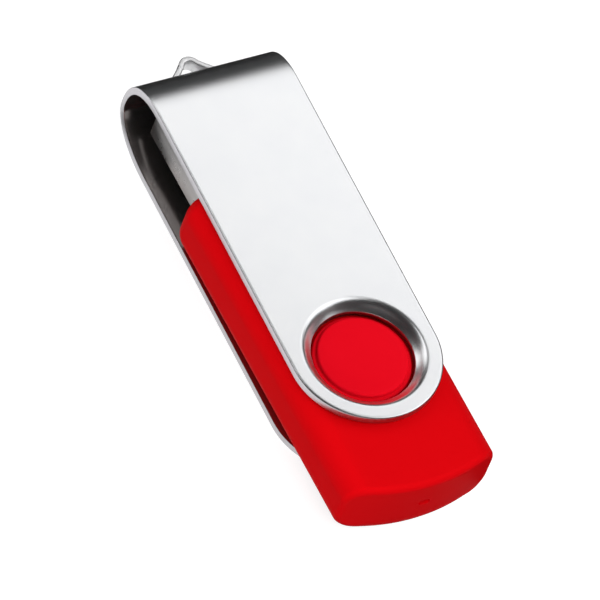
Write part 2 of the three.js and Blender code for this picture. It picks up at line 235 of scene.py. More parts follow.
def shade_by_angle(obj, angle=40):
    """Smooth shading that stays crisp at edges sharper than the angle."""
    limit = math.radians(angle)
    with Editing(obj) as bm:
        for edge in bm.edges:
            edge.smooth = len(edge.link_faces) == 2 and edge.calc_face_angle(0) < limit
        for face in bm.faces:
            face.smooth = True


def arc(radius, start, end, steps):
    """Points of an arc about the origin, from one angle in degrees to the other."""
    turn = np.radians(np.linspace(start, end, steps + 1))
    return np.stack([np.cos(turn), np.sin(turn)], 1) * radius


def rounded_rect(half_w, half_h, radius, steps):
    """Points round a rectangle with round corners, anticlockwise from the lower right."""
    rings = []
    for i, (sx, sy) in enumerate([(1, -1), (1, 1), (-1, 1), (-1, -1)]):
        middle = np.array([sx * (half_w - radius), sy * (half_h - radius)])
        rings.append(middle + arc(radius, -90 + 90 * i, 90 * i, steps))
    return np.concatenate(rings)


def tube_faces(rings, count):
    """Quads between rings of the same number of points, given as a flat point list."""
    faces = []
    for r in range(rings - 1):
        for i in range(count):
            j = (i + 1) % count
            faces.append((r * count + i, r * count + j, (r + 1) * count + j, (r + 1) * count + i))
    return faces


def loft(name, rings, turn=0.0, caps=True):
    """A solid through rings of equal length, with a flat face at each end."""
    count = len(rings[0])
    faces = tube_faces(len(rings), count)
    if caps:
        faces.append(tuple(range(count)))
        faces.append(tuple(range((len(rings) - 1) * count, len(rings) * count)))
    return make_object(name, np.concatenate(rings), faces, turn)


def upright(name, plan, low, high):
    """A straight block on a plan of (x, y) points, from one height to the other."""
    return loft(name, [np.column_stack([plan, np.full(len(plan), z)]) for z in (low, high)])


def lengthwise(name, outline, front, rear):
    """A straight block on an end view of (y, z) points, from one x to the other."""
    return loft(name, [np.column_stack([np.full(len(outline), x), outline])
                       for x in (front, rear)])


def revolve(name, profile, steps=128):
    """A solid turned around the swivel axis from [radius, height] points, axis to axis."""
    profile = np.asarray(profile, float)
    turn = np.linspace(0, 2 * math.pi, steps, endpoint=False)
    around = np.stack([np.cos(turn), np.sin(turn)], 1)
    rings = []
    for radius, height in profile[1:-1]:
        rings.append(np.column_stack([around * radius, np.full(steps, height)]))
    points = np.concatenate(rings + [[[0, 0, profile[0][1]], [0, 0, profile[-1][1]]]])
    faces = tube_faces(len(rings), steps)
    first, last = len(rings) * steps, len(rings) * steps + 1
    end = (len(rings) - 1) * steps
    for i in range(steps):
        j = (i + 1) % steps
        faces.append((first, j, i))
        faces.append((last, end + i, end + j))
    return make_object(name, points, faces)


def block(name, low, high):
    """A box between two opposite corners."""
    corners = [(x, y, z) for x in (low[0], high[0]) for y in (low[1], high[1])
               for z in (low[2], high[2])]
    faces = [(0, 1, 3, 2), (4, 6, 7, 5), (0, 4, 5, 1), (2, 3, 7, 6), (0, 2, 6, 4), (1, 5, 7, 3)]
    return make_object(name, corners, faces, smooth=False)


# ---- materials --------------------------------------------------------------------
class Nodes:
    """A material's node tree, with short calls to add and join nodes."""

    def __init__(self, name):
        self.material = bpy.data.materials.new(name)
        self.material.use_nodes = True
        self.tree = self.material.node_tree
        self.shader = self.tree.nodes["Principled BSDF"]
        self.place = self.add("ShaderNodeTexCoord").outputs["Object"]

    def add(self, kind, **settings):
        node = self.tree.nodes.new(kind)
        for key, value in settings.items():
            setattr(node, key, value)
        return node

    def join(self, output, socket):
        self.tree.links.new(output, socket)

    def feed(self, socket, output):
        """The shader's socket takes its value from the output."""
        self.join(output, self.shader.inputs[socket])

    def set(self, **values):
        """Constant values on the shader's sockets, named with _ for a space."""
        for key, value in values.items():
            self.shader.inputs[key.replace("_", " ")].default_value = value

    def noise(self, scale, detail=2.0, roughness=0.5, stretch=None):
        """Noise whose grains are about 1 / scale metres."""
        node = self.add("ShaderNodeTexNoise")
        node.inputs["Scale"].default_value = scale
        node.inputs["Detail"].default_value = detail
        node.inputs["Roughness"].default_value = roughness
        source = self.place
        if stretch:
            mapping = self.add("ShaderNodeMapping")
            mapping.inputs["Scale"].default_value = stretch
            self.join(source, mapping.inputs["Vector"])
            source = mapping.outputs["Vector"]
        self.join(source, node.inputs["Vector"])
        return node.outputs["Fac"]

    def between(self, value, low, high, start=0.0, end=1.0):
        """The value, from start to end, turned into a number from low to high."""
        node = self.add("ShaderNodeMapRange")
        node.inputs["From Min"].default_value = start
        node.inputs["From Max"].default_value = end
        node.inputs["To Min"].default_value = low
        node.inputs["To Max"].default_value = high
        self.join(value, node.inputs["Value"])
        return node.outputs["Result"]

    def mix(self, factor, first, second):
        """A colour from the first to the second; the node's colour sockets are A at 6, B
        at 7 and the result at 2."""
        node = self.add("ShaderNodeMix", data_type="RGBA")
        self.join(factor, node.inputs["Factor"])
        node.inputs[6].default_value = (*first, 1.0)
        node.inputs[7].default_value = (*second, 1.0)
        return node.outputs[2]

    def bump(self, heights):
        """Stacked bumps from (height output, depth in millimetres) pairs."""
        normal = None
        for height, depth in heights:
            node = self.add("ShaderNodeBump")
            node.inputs["Distance"].default_value = depth * MM
            self.join(height, node.inputs["Height"])
            if normal is not None:
                self.join(normal, node.inputs["Normal"])
            normal = node.outputs["Normal"]
        self.feed("Normal", normal)


def satin_metal():
    """Bead-blasted face: pale metal with a very fine grain and faint cloudy patches."""
    n = Nodes("satin_metal")
    grain = n.noise(9000, 3, 0.6)
    clouds = n.noise(220, 2)
    n.set(Metallic=1.0)
    n.feed("Base Color", n.mix(clouds, (0.80, 0.81, 0.83), (0.86, 0.865, 0.87)))
    n.feed("Roughness", n.between(grain, 0.27, 0.33))
    n.bump([(grain, 0.0035), (n.noise(4500, 2), 0.0012)])
    return n.material


def inner_metal():
    """The sheet's unblasted inner face: smooth, with rolling streaks along the strip. Its colour is
    kept much darker than the outer face's as painted shade for the faces inside the bend; the
    streaks are the sheet's own.
    """
    n = Nodes("inner_metal")
    streaks = n.noise(700, 3, 0.6, stretch=(0.05, 1.0, 1.0))
    n.set(Metallic=0.98)
    # painted shade: the dark base colour stands for the shade on the faces inside the bend
    n.feed("Base Color", n.mix(streaks, (0.42, 0.39, 0.38), (0.56, 0.52, 0.51)))
    n.feed("Roughness", n.between(streaks, 0.14, 0.24))
    n.bump([(streaks, 0.002)])
    return n.material


def cut_metal():
    """Punched edge of the sheet: pale, a little rough, with fine shear marks."""
    n = Nodes("cut_metal")
    marks = n.noise(2600, 3, 0.6, stretch=(1.0, 1.0, 0.25))
    n.set(Metallic=1.0)
    n.feed("Base Color", n.mix(marks, (0.42, 0.41, 0.43), (0.60, 0.59, 0.61)))
    n.feed("Roughness", n.between(marks, 0.28, 0.45))
    n.bump([(marks, 0.01)])
    return n.material


def torn_metal():
    """The lanced key loop: bright torn edges and streaks drawn into the strip."""
    n = Nodes("torn_metal")
    marks = n.noise(4200, 4, 0.7, stretch=(1.0, 0.35, 1.0))
    n.set(Metallic=1.0)
    n.feed("Base Color", n.mix(marks, (0.60, 0.60, 0.61), (0.95, 0.95, 0.95)))
    n.feed("Roughness", n.between(marks, 0.25, 0.5))
    n.bump([(marks, 0.04)])
    return n.material


def red_rubber(name, light, dark):
    """Soft-touch coat: even red with a faint mottle, a fine grain and a soft sheen."""
    n = Nodes(name)
    mottle = n.noise(160, 3)
    grain = n.noise(7000, 3, 0.6)
    n.feed("Base Color", n.mix(mottle, light, dark))
    n.feed("Roughness", n.between(grain, 0.46, 0.58))
    n.set(Specular_IOR_Level=0.01)
    n.bump([(grain, 0.006), (n.noise(1300, 2), 0.008)])
    return n.material


def plug_metal():
    """Nickel plate with faint drawing lines along the plug and small rubbed patches."""
    n = Nodes("plug_metal")
    lines = n.noise(1800, 3, 0.6, stretch=(0.06, 1.0, 1.0))
    rubs = n.noise(500, 4, 0.7)
    n.set(Metallic=1.0)
    n.feed("Base Color", n.mix(lines, (0.36, 0.35, 0.35), (0.50, 0.49, 0.48)))
    n.feed("Roughness", n.between(rubs, 0.2, 0.38))
    n.bump([(lines, 0.003), (rubs, 0.004)])
    return n.material


def plain_material(name, light, dark, roughness, scale, metallic=0.0, depth=0.004):
    """A moulded, plated or coated finish with fine variation in tone and gloss."""
    n = Nodes(name)
    tone = n.noise(scale, 3)
    fine = n.noise(scale * 8, 3, 0.6)
    n.set(Metallic=metallic)
    n.feed("Base Color", n.mix(tone, light, dark))
    n.feed("Roughness", n.between(fine, roughness[0], roughness[1]))
    n.bump([(fine, depth)])
    return n.material


def board_mask():
    """Green solder mask with paler tracks under it."""
    n = Nodes("board_mask")
    tracks = n.add("ShaderNodeTexBrick")
    tracks.inputs["Scale"].default_value = 900.0
    tracks.inputs["Color1"].default_value = (0.01, 0.16, 0.07, 1)
    tracks.inputs["Color2"].default_value = (0.012, 0.19, 0.085, 1)
    tracks.inputs["Mortar"].default_value = (0.02, 0.27, 0.12, 1)
    tracks.inputs["Mortar Size"].default_value = 0.04
    n.join(n.place, tracks.inputs["Vector"])
    n.feed("Base Color", tracks.outputs["Color"])
    fine = n.noise(4000, 2)
    n.feed("Roughness", n.between(fine, 0.28, 0.42))
    n.bump([(tracks.outputs["Fac"], 0.02)])
    return n.material


def lens_material():
    """Smoky clear lens of the light."""
    n = Nodes("led_lens")
    haze = n.noise(1500, 2)
    n.feed("Base Color", n.mix(haze, (0.06, 0.05, 0.05), (0.10, 0.09, 0.08)))
    n.feed("Roughness", n.between(haze, 0.12, 0.25))
    n.bump([(haze, 0.003)])
    return n.material


def floor_material():
    """White paper that glows enough to stay evenly white."""
    n = Nodes("floor_paper")
    fibre = n.noise(60, 3)
    n.feed("Base Color", n.mix(fibre, (0.44, 0.44, 0.44), (0.47, 0.47, 0.47)))
    n.set(Roughness=0.9, Specular_IOR_Level=0.1, Emission_Strength=0.8)
    n.feed("Emission Color", n.between(fibre, 0.98, 1.0))
    return n.material


SATIN = satin_metal()
INNER = inner_metal()
CUT = cut_metal()
TORN = torn_metal()
RED_BODY = red_rubber("red_body", (0.72, 0.0015, 0.004), (0.77, 0.002, 0.005))
RED_CAP = red_rubber("red_cap", (0.82, 0.003, 0.012), (0.87, 0.004, 0.015))
PLUG_METAL = plug_metal()
BLACK = plain_material("black_plastic", (0.015, 0.015, 0.016), (0.03, 0.03, 0.03), (0.35, 0.5), 900)
GOLD = plain_material("contact_gold", (0.80, 0.56, 0.22), (0.88, 0.66, 0.30), (0.15, 0.3), 1200,
                      metallic=1.0)
CHIP = plain_material("chip_epoxy", (0.02, 0.02, 0.022), (0.035, 0.035, 0.037), (0.45, 0.65), 900)
CAN = plain_material("can_metal", (0.6, 0.6, 0.6), (0.75, 0.75, 0.75), (0.2, 0.35), 900,
                     metallic=1.0)
CERAMIC = plain_material("ceramic_tan", (0.36, 0.27, 0.15), (0.5, 0.38, 0.22), (0.3, 0.5), 1500)
BOARD = board_mask()
LENS = lens_material()


def paint(obj, material):
    """The object gets one material, in its only slot."""
    obj.data.materials.clear()
    obj.data.materials.append(material)


def fit(obj, body, slot, *nodes):
    """The finished piece rides on its body and stands for its CAD nodes."""
    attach(obj, body)
    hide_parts(*nodes)


# ---- the cover --------------------------------------------------------------------
def smooth_step(t):
    """From 0 to 1 with a soft start and end, while t goes from 0 to 1."""
    t = np.clip(t, 0, 1)
    return t * t * (3 - 2 * t)


def dip(radius, face):
    """How far a face of the sheet lies below its flat part at a radius: it turns down
    softly, falls, and still slopes at the hole. The inner face's dip is shifted
    outwards, as in drawn sheet."""
    share = (DIMPLE_R + DIMPLE_SHIFT[face] - radius) / (DIMPLE_R - HOLE_R)
    steps = np.linspace(0, 1, 201)
    rise = smooth_step(steps / STEEPEST)
    ease = 1 - (1 - LIP_SLOPE) * smooth_step((steps - STEEPEST) / (1 - STEEPEST))
    fall = np.cumsum(rise * ease)
    return DIMPLE_DEPTH[face] * float(np.interp(share, steps, fall / fall[-1], left=0.0))


OUTER_FACE, INNER_FACE, CUT_FACE = 0, 1, 2        # material slots of the cover


class Sheet:
    """A bent sheet: pairs of points on its outer and inner face, and quads between them."""

    def __init__(self):
        self.index = {}
        self.outer = []
        self.inner = []
        self.quads = []

    def point(self, outer, inner):
        """The number of a pair of points; a pair that is already there keeps its number."""
        key = tuple(round(v, 4) for v in outer)
        if key not in self.index:
            self.index[key] = len(self.outer)
            self.outer.append(outer)
            self.inner.append(inner)
        return self.index[key]

    def rings(self, rows):
        """Quads between closed rows of points."""
        for a, b in zip(rows, rows[1:]):
            for i in range(len(a)):
                j = (i + 1) % len(a)
                self.quads.append((a[i], a[j], b[j], b[i]))

    def close(self, name):
        """The solid sheet: both faces, and cut edges wherever the quads end."""
        count = len(self.outer)
        faces = list(self.quads)
        kinds = [OUTER_FACE] * len(faces)
        for quad in self.quads:
            faces.append(tuple(i + count for i in reversed(quad)))
            kinds.append(INNER_FACE)
        edges = {}
        for quad in self.quads:
            for edge in zip(quad, quad[1:] + quad[:1]):
                edges[edge] = True
        for a, b in edges:
            if (b, a) not in edges:
                faces.append((b, a, a + count, b + count))
                kinds.append(CUT_FACE)
        obj = make_object(name, self.outer + self.inner, faces, COVER_TURN)
        for material in (SATIN, INNER, CUT):
            obj.data.materials.append(material)
        obj.data.polygons.foreach_set("material_index", kinds)
        return obj


AROUND = 160                           # points round the hole and the plate's end
ACROSS = AROUND // 4                   # quads across the strip
MARGIN = 0.32                          # width of the narrow quads along the strip's edges
DIMPLE_RINGS = 36
PLATE_STEPS = 14                       # lines along the straight part of a plate
BEND_STEPS = 48                        # steps in a quarter of the bend


def cross_points():
    """Where the lengthwise lines of the strip lie, with two at the window's sides and
    one close to each edge, which keeps the flat face's shading flat."""
    lines = COVER_HALF * np.tan(np.radians(np.linspace(-45, 45, ACROSS + 1)))
    lines[[1, -2]] = MARGIN - COVER_HALF, COVER_HALF - MARGIN
    for side in (-WINDOW_HALF, WINDOW_HALF):
        lines[np.argmin(np.abs(lines - side))] = side
    return lines


def plate_rim():
    """The outline that a plate's end block is drawn to: round at the end, straight at the
    sides, and the strip's own points where it joins the strip."""
    lines = cross_points()
    rim = []
    for i in range(AROUND):
        turn = math.radians(-135 + 360 * i / AROUND)
        if i > 3 * ACROSS:
            rim.append((-COVER_HALF, lines[4 * ACROSS - i]))
        elif abs(turn) <= math.pi / 2 + 1e-9:
            rim.append((COVER_HALF * math.cos(turn), COVER_HALF * math.sin(turn)))
        else:
            y = math.copysign(COVER_HALF, turn)
            rim.append((-COVER_HALF * math.tan(abs(turn) - math.pi / 2), y))
    return rim


def plate_end(sheet, face_z, up):
    """The round end of a plate, with the dimple and hole; up is 1 above and -1 below."""
    rim = plate_rim()
    radii = np.linspace(HOLE_R, DIMPLE_R + 0.2, DIMPLE_RINGS)

    def ring(reach_at, outer_dip, inner_dip):
        """A row of points, at a reach worked out from that of the rim."""
        row = []
        for x, y in rim:
            reach = math.hypot(x, y)
            px, py = x / reach * reach_at(reach), y / reach * reach_at(reach)
            row.append(sheet.point((px, py, face_z - up * outer_dip),
                                   (px, py, face_z - up * (SHEET + inner_dip))))
        return row

    rows = [ring(lambda reach: radius, dip(radius, "outer"), dip(radius, "inner"))
            for radius in radii]
    for flat_at in (lambda reach: (radii[-1] + reach) / 2,
                    lambda reach: reach - 1.2 * MARGIN,
                    lambda reach: reach):
        rows.append(ring(flat_at, 0.0, 0.0))
    sheet.rings(rows if up > 0 else rows[::-1])


def oval(turn, middle, outer, inner, powers):
    """Points at the same turn on the outer and inner oval of a quarter of the bend."""
    pair = []
    for (reach_x, reach_z), power in zip((outer, inner), powers):
        x = abs(math.cos(turn)) ** (2 / power) * reach_x
        z = abs(math.sin(turn)) ** (2 / power) * reach_z * (1 if math.sin(turn) > 0 else -1)
        pair += [middle[0] - x, middle[1] + z]
    return tuple(pair)


def strip_side():
    """Side view of the strip from one plate's end block round the bend to the other:
    (x, z) on the outer face and (x, z) on the inner face."""
    above = COVER_H - BEND_Z
    upper, lower = (BEND_OUT + UPPER_REACH, BEND_Z), (BEND_OUT + LOWER_REACH, BEND_Z)
    top, side, bottom = math.pi / 2, math.pi, 1.5 * math.pi
    stations = []
    for x in np.linspace(-COVER_HALF, upper[0], PLATE_STEPS):
        stations.append((x, COVER_H, x, COVER_H - SHEET))
    for turn in np.linspace(top, side, BEND_STEPS + 1)[1:]:
        stations.append(oval(turn, upper, (UPPER_REACH, above),
                             (UPPER_REACH - BEND_SHEET, above - SHEET), UPPER_POWER))
    for turn in np.linspace(side, bottom, BEND_STEPS + 1)[1:]:
        stations.append(oval(turn, lower, (LOWER_REACH, BEND_Z),
                             (LOWER_REACH - BEND_SHEET, BEND_Z - SHEET), LOWER_POWER))
    for x in np.linspace(lower[0], -COVER_HALF, PLATE_STEPS)[1:]:
        stations.append((x, 0.0, x, SHEET))
    return stations


def weigh_edges(cover):
    """Say for the bevel how far each edge of the sheet is rounded."""
    with Editing(cover) as bm:
        weight = bm.edges.layers.float.new("bevel_weight_edge")
        for edge in bm.edges:
            kinds = {face.material_index for face in edge.link_faces}
            middle = (edge.verts[0].co + edge.verts[1].co) / (2 * MM)
            at_hole = math.hypot(middle.x - PIVOT[0], middle.y) < HOLE_R + 0.1
            at_bend = middle.x - PIVOT[0] < BEND_OUT + UPPER_REACH
            if kinds == {INNER_FACE, CUT_FACE} or kinds == {OUTER_FACE, CUT_FACE} and at_hole:
                edge[weight] = FINE_EDGE_WEIGHT
            elif kinds == {OUTER_FACE, CUT_FACE}:
                edge[weight] = BEND_EDGE_WEIGHT if at_bend else PLATE_EDGE_WEIGHT


def cover_piece():
    """The cover without its key loop: the bent strip with the loop's window, dimples and
    holes."""
    sheet = Sheet()
    plate_end(sheet, COVER_H, 1)
    plate_end(sheet, 0.0, -1)
    stations = strip_side()
    window_low, window_high = LOOP_Z - LOOP_TALL / 2, LOOP_Z + LOOP_TALL / 2
    lines = cross_points()
    rows = [[sheet.point((x, y, z), (inner_x, y, inner_z)) for y in lines]
            for x, z, inner_x, inner_z in stations]
    for k, (a, b) in enumerate(zip(rows, rows[1:])):
        x, z_mid = stations[k][0], (stations[k][1] + stations[k + 1][1]) / 2
        at_window = x < BEND_OUT + UPPER_REACH / 2 and window_low < z_mid < window_high
        for i in range(ACROSS):
            y_mid = (lines[i] + lines[i + 1]) / 2
            if at_window and abs(y_mid) < WINDOW_HALF:
                continue
            sheet.quads.append((a[i], b[i], b[i + 1], a[i + 1]))
    cover = sheet.close("cover_sheet")
    weigh_edges(cover)
    bevel(cover, EDGE_ROUND, 4, angle=None)
    shade_by_angle(cover, 30)
    fit(cover, "cover", "satin_metal", "swivel_cover")


def loop_line():
    """Plan of the key loop's middle line: two slanting legs and a rounded top."""
    top = -LOOP_REACH + LOOP_SHEET / 2
    root = np.array([BEND_OUT + 0.35, LOOP_HALF - LOOP_SHEET / 2])
    shoulder = np.array([top + 0.75, 1.0])
    control = np.array([top + 0.02, 0.62])
    crest = np.array([top, 0.0])
    leg = [root * (1 - t) + shoulder * t for t in np.linspace(0, 1, 9)]
    curve = [(1 - t) ** 2 * shoulder + 2 * t * (1 - t) * control + t ** 2 * crest
             for t in np.linspace(0, 1, 13)[1:]]
    side = np.array(leg + curve)
    return np.concatenate([side, (side * [1, -1])[-2::-1]])


def key_loop_piece():
    """The key loop: a rounded section drawn along its middle line."""
    line = loop_line()
    along = np.gradient(line, axis=0)
    along /= np.linalg.norm(along, axis=1)[:, None]
    across = np.stack([-along[:, 1], along[:, 0]], 1)
    section = rounded_rect(LOOP_SHEET / 2, LOOP_TALL / 2, LOOP_EDGE, 3)
    rings = []
    for point, normal in zip(line, across):
        plan = point + section[:, :1] * normal
        rings.append(np.column_stack([plan, LOOP_Z + section[:, 1]]))
    loop = loft("key_loop", rings, COVER_TURN)
    paint(loop, TORN)
    shade_by_angle(loop, 50)
    fit(loop, "cover", "satin_metal", "swivel_cover")


# ---- the body ---------------------------------------------------------------------
SIDE_STEPS = 3                         # steps up the flat side of half an end view
CORNER_STEPS = 24                      # round its corner
MIDDLE_STEPS = 15                      # and from the corner to the middle


def half_section(rounds, up):
    """Half of the body's end view, from the middle of one side over the top (or under
    the bottom) to the other: points, outward normals and the share of the way up."""
    radius = rounds["side"]
    flat = BODY_HALF_T - radius
    turns = np.radians(np.linspace(0, 90, CORNER_STEPS + 1))
    rise = np.linspace(0, flat, SIDE_STEPS + 1)[:-1]
    inwards = np.linspace(BODY_HALF - radius, 0, MIDDLE_STEPS + 1)[1:]
    side = np.column_stack([np.full(SIDE_STEPS, BODY_HALF), rise])
    corner = np.stack([BODY_HALF - radius + radius * np.cos(turns),
                       flat + radius * np.sin(turns)], 1)
    middle = np.column_stack([inwards, np.full(MIDDLE_STEPS, BODY_HALF_T)])
    points = np.concatenate([side, corner, middle])
    angle = np.concatenate([np.zeros(SIDE_STEPS), turns, np.full(MIDDLE_STEPS, math.pi / 2)])
    points = np.concatenate([points, (points * [-1, 1])[-2::-1]])
    normals = np.stack([np.cos(angle), np.sin(angle)], 1)
    normals = np.concatenate([normals, (normals * [-1, 1])[-2::-1]])
    share = np.concatenate([angle, angle[-2::-1]]) / (math.pi / 2)
    return points * [1, up], normals * [1, up], share


def section():
    """The body's whole end view: points, outward normals, and the radius of the body's
    front and rear edge at each point."""
    parts = []
    for rounds, up in ((UPPER_ROUND, 1), (UNDER_ROUND, -1)):
        points, normals, share = half_section(rounds, up)
        blend = smooth_step(share)
        ends = [rounds[end][0] + (rounds[end][1] - rounds[end][0]) * blend
                for end in ("front", "rear")]
        rows = np.column_stack([points, normals, *ends])
        parts.append(rows if up > 0 else rows[-2:0:-1])
    rows = np.concatenate(parts)
    return rows[:, :2], rows[:, 2:4], rows[:, 4], rows[:, 5]


def body_solid():
    """The body: a long section whose front and bowed rear end are rounded over."""
    points, normals, front_r, rear_r = section()
    bow = BODY_REAR - REAR_BOW_R

    def rear_x(yz):
        return bow + np.sqrt(REAR_BOW_R ** 2 - yz[:, 0] ** 2)

    def front_x(yz):
        return np.full(len(yz), BODY_FRONT)

    def end_face(yz, end_x):
        """Rings that fill an end, from a line across its middle out to its edge."""
        line = np.column_stack([yz[:, 0] * 0.66, np.zeros(len(yz))])
        rows = [yz + (line - yz) * t for t in np.linspace(1, 0, 11)[:-1]]
        return [(end_x(row), row) for row in rows]

    turns = np.radians(np.linspace(0, 90, 13))
    core = points - normals * rear_r[:, None]
    rings = end_face(core, rear_x)
    for turn in turns:
        yz = points - normals * (rear_r * (1 - math.sin(turn)))[:, None]
        rings.append((rear_x(yz) - rear_r * (1 - math.cos(turn)), yz))
    start = rings[-1][0]
    for share in np.linspace(0, 1, 25)[1:-1]:
        rings.append((start * (1 - share) + (BODY_FRONT + front_r) * share, points))
    for turn in turns[::-1]:
        yz = points - normals * (front_r * (1 - math.sin(turn)))[:, None]
        rings.append((BODY_FRONT + front_r * (1 - math.cos(turn)), yz))
    rings += end_face(points - normals * front_r[:, None], front_x)[::-1]
    shapes = [np.column_stack([x, yz[:, 0], yz[:, 1] + SPLIT_Z]) for x, yz in rings]
    return weld(loft("body", shapes, caps=False))


def body_cutters():
    """What is hollow in the body: the cavity, the plug's slot, the light's hole, and on
    both faces the round recess and the hole of the boss's stem."""
    plan = rounded_rect((BODY_REAR - BODY_FRONT) / 2 - 2 * WALL, BODY_HALF - WALL,
                        CAVITY_CORNER, 8)
    middle = (BODY_REAR + BODY_FRONT) / 2 + CAVITY_SHIFT
    plug_half = (PLUG_HIGH - PLUG_LOW) / 2 + PLUG_GAP
    slot = rounded_rect(plug_half[1], plug_half[2], 0.55, 8) + [0, SPLIT_Z]
    hole = rounded_rect(*LED_HOLE_HALF, LED_HOLE_CORNER, 8) + [0, UPPER_LOW[2] + LED_HOLE_RISE]
    cutters = [upright("cavity", plan + [middle, 0], SPLIT_Z - CAVITY_HALF_T,
                       SPLIT_Z + CAVITY_HALF_T),
               lengthwise("slot", slot, BODY_FRONT - 1, BODY_FRONT + 4),
               lengthwise("led_cut", hole, BODY_REAR - 3, BODY_REAR + 1)]
    for up in (1, -1):
        face = SPLIT_Z + up * BODY_HALF_T
        floor = face - up * RECESS_DEPTH
        cutters.append(revolve("recess", [[0, floor], [RECESS_R - RECESS_CORNER, floor],
                                          [RECESS_R, floor + up * RECESS_CORNER],
                                          [RECESS_R, face + up], [0, face + up]], 128))
        cutters.append(revolve("stem", [[0, SPLIT_Z + up], [STEM_HOLE_R, SPLIT_Z + up],
                                        [STEM_HOLE_R, face], [0, face]], 64))
    return cutters


def body_pieces():
    """The two shells: the hollow body parted at mid height."""
    whole = cut(body_solid(), *body_cutters())
    wide = 60                          # half the width of a block larger than the body
    for name, low, high, node in (("upper_body", SPLIT_Z, wide, "upper_shell"),
                                  ("lower_body", -wide, SPLIT_Z, "lower_shell")):
        half = whole.copy()
        half.data = whole.data.copy()
        half.name = name
        add_to_scene(half)
        side = block("side", (-wide, -wide, low), (wide, wide, high))
        boolean(half, side, "INTERSECT")
        bpy.data.objects.remove(side)
        paint(half, RED_BODY)
        shade_by_angle(half, 30)
        fit(half, "drive", "red_body", node)
    bpy.data.objects.remove(whole)


def fillet(corner, radius, start, end, steps=6):
    """Points of a round corner in a profile: its centre, radius and first and last angle."""
    return [list(np.array(corner) + p) for p in arc(radius, start, end, steps)]


def cap_profile():
    """Half the side view of the upper boss: stem, foot, and the boss with a round edge."""
    seat = SPLIT_Z + BODY_HALF_T - RECESS_DEPTH
    shoulder = seat + SHOULDER_H
    profile = [[0, seat - STEM_LENGTH], [STEM_R, seat - STEM_LENGTH], [STEM_R, seat],
               [SHOULDER_R, seat]]
    profile += fillet((SHOULDER_R - SHOULDER_EDGE, shoulder - SHOULDER_EDGE),
                      SHOULDER_EDGE, 0, 90)
    profile += fillet((CAP_R + SHOULDER_FILLET, shoulder + SHOULDER_FILLET),
                      SHOULDER_FILLET, 270, 180, 4)
    profile += fillet((CAP_R - CAP_EDGE, CAP_TOP - CAP_EDGE), CAP_EDGE, 0, 90, 8)
    profile += [[CAP_R * 0.7, CAP_TOP], [CAP_R * 0.3, CAP_TOP], [0, CAP_TOP]]
    return profile


def cap_pieces():
    """The bosses that the cover turns on, the lower one as the upper one's mirror."""
    for name, node, up in (("upper_boss", "upper_pivot_cap", 1),
                           ("lower_boss", "lower_pivot_cap", -1)):
        cap = revolve(name, [[r, SPLIT_Z + up * (z - SPLIT_Z)] for r, z in cap_profile()])
        paint(cap, RED_CAP)
        shade_by_angle(cap, 50)
        fit(cap, "drive", "red_cap", node)


# ---- the plug ---------------------------------------------------------------------
def plug_tube():
    """The plug's sheet as a tube: in along its outside, round the tip, back inside."""
    half = (PLUG_HIGH - PLUG_LOW) / 2
    front, rear = PLUG_LOW[0] - PIVOT[0], PLUG_HIGH[0] - PIVOT[0]
    outside = [(rear, 0.0), (front + 3, 0.0), (front + 0.35, 0.0), (front + 0.12, 0.03),
               (front + 0.02, 0.09), (front, 0.16)]
    inside = [(front + 0.02, 0.24), (front + 0.12, PLUG_SHEET), (front + 3, PLUG_SHEET),
              (rear, PLUG_SHEET)]
    rings = []
    for x, inset in outside + inside:
        yz = rounded_rect(half[1] - inset, half[2] - inset, max(PLUG_CORNER - inset, 0.12), 8)
        rings.append(np.column_stack([np.full(len(yz), x), yz[:, 0], yz[:, 1] + SPLIT_Z]))
    count = len(rings[0])
    faces = tube_faces(len(rings), count)
    last = (len(rings) - 1) * count
    faces += [(i, (i + 1) % count, last + (i + 1) % count, last + i) for i in range(count)]
    return make_object("plug_metal_shell", np.concatenate(rings), faces)


def plug_piece():
    """The plug's metal shell, with two windows above, two below and the seam."""
    half_t = (PLUG_HIGH - PLUG_LOW)[2] / 2
    front, rear = PLUG_LOW[0] - PIVOT[0], PLUG_HIGH[0] - PIVOT[0]
    under = SPLIT_Z - half_t
    shell = plug_tube()
    for y in (-WINDOW_ASIDE, WINDOW_ASIDE):
        plan = rounded_rect(*PLUG_WINDOW_HALF, PLUG_WINDOW_CORNER, 4)
        plan = plan + [front + WINDOW_SET_BACK, y]
        for low, high in ((under - 1, SPLIT_Z - 1), (SPLIT_Z + 1, SPLIT_Z + half_t + 1)):
            cut(shell, upright("window", plan, low, high))
    cut(shell, block("seam", (front - 1, -SEAM_HALF, under - 0.1),
                     (rear + 1, SEAM_HALF, under + SEAM_DEPTH)))
    paint(shell, PLUG_METAL)
    shade_by_angle(shell, 35)
    fit(shell, "drive", "plug_metal", "plug_shell")


# ---- the small pieces -------------------------------------------------------------
def bevelled_copy(node, name, width, slot, material):
    """A CAD block redrawn with rounded edges."""
    obj = add_to_scene(bpy.data.objects.new(name, frame["nodes"][node].data.copy()))
    with Editing(obj) as bm:
        bmesh.ops.remove_doubles(bm, verts=bm.verts, dist=1e-7)
        bmesh.ops.dissolve_limit(bm, angle_limit=math.radians(1), verts=bm.verts,
                                 edges=bm.edges)
    bevel(obj, width)
    paint(obj, material)
    shade_by_angle(obj, 40)
    fit(obj, "drive", slot, node)


